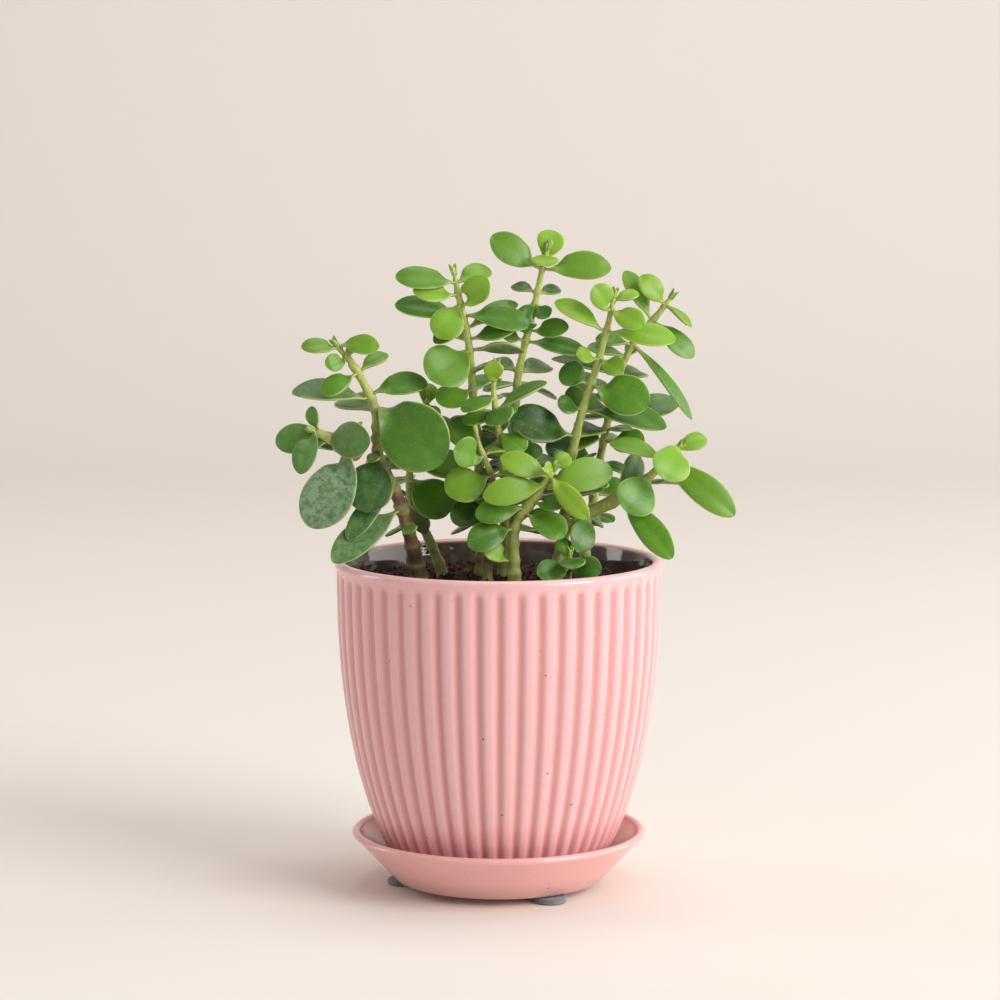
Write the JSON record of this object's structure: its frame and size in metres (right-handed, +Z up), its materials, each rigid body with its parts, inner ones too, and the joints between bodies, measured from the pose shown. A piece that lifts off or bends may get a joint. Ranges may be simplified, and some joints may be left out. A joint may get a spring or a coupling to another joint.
{
  "type": "potted jade plant",
  "caption": "Young jade plant with fleshy oval leaves in a small ribbed glazed pot, standing in a matching saucer on felt pads.",
  "frame": {"origin": "centre of the saucer's flat underside, 2 mm above the felt pads' feet", "axes": "+Z up through the pot's middle, -Y towards the front, +X to the right seen from the front"},
  "size_m": [0.159, 0.1154, 0.2314],
  "materials": {
    "pot_glaze": "gloss",
    "saucer_glaze": "gloss",
    "felt": "matte",
    "soil": "matte",
    "stem": "satin",
    "young_leaf": "satin",
    "old_leaf": "satin"
  },
  "bodies": {
    "root": {"pot": "pot_glaze", "saucer": "saucer_glaze", "soil": "soil", "felt_pad_1": "felt", "felt_pad_2": "felt", "felt_pad_3": "felt", "stem_a": "stem", "stem_b": "stem", "stem_c": "stem", "stem_d": "stem", "stem_e": "stem", "stem_f": "stem", "stem_g": "stem", "stem_h": "stem", "stem_i": "stem", "stem_j": "stem", "stem_k": "stem", "stem_l": "stem", "leaves_a1": "young_leaf", "leaves_a2": "young_leaf", "leaves_a3": "old_leaf", "leaves_a4": "old_leaf", "leaves_a5": "old_leaf", "leaves_b1": "young_leaf", "leaves_b2": "young_leaf", "leaves_b3": "old_leaf", "leaves_b4": "old_leaf", "leaves_b5": "old_leaf", "leaves_c1": "old_leaf", "leaves_c2": "old_leaf", "leaves_c3": "old_leaf", "leaves_c4": "old_leaf", "leaves_c5": "old_leaf", "leaves_d1": "young_leaf", "leaves_d2": "old_leaf", "leaves_e1": "young_leaf", "leaves_e2": "young_leaf", "leaves_e3": "old_leaf", "leaves_e4": "old_leaf", "leaves_e5": "old_leaf", "leaves_f1": "young_leaf", "leaves_f2": "young_leaf", "leaves_f3": "old_leaf", "leaves_f4": "old_leaf", "leaves_f5": "old_leaf", "leaves_g1": "young_leaf", "leaves_g2": "old_leaf", "leaves_g3": "old_leaf", "leaves_g4": "old_leaf", "leaves_h1": "young_leaf", "leaves_h2": "old_leaf", "leaves_h3": "old_leaf", "leaves_h4": "old_leaf", "leaves_i1": "old_leaf", "leaves_i2": "old_leaf", "leaves_j1": "young_leaf", "leaves_j2": "old_leaf", "leaves_k1": "old_leaf", "leaves_l1": "young_leaf", "leaves_l2": "old_leaf"}
  },
  "joints": []
}
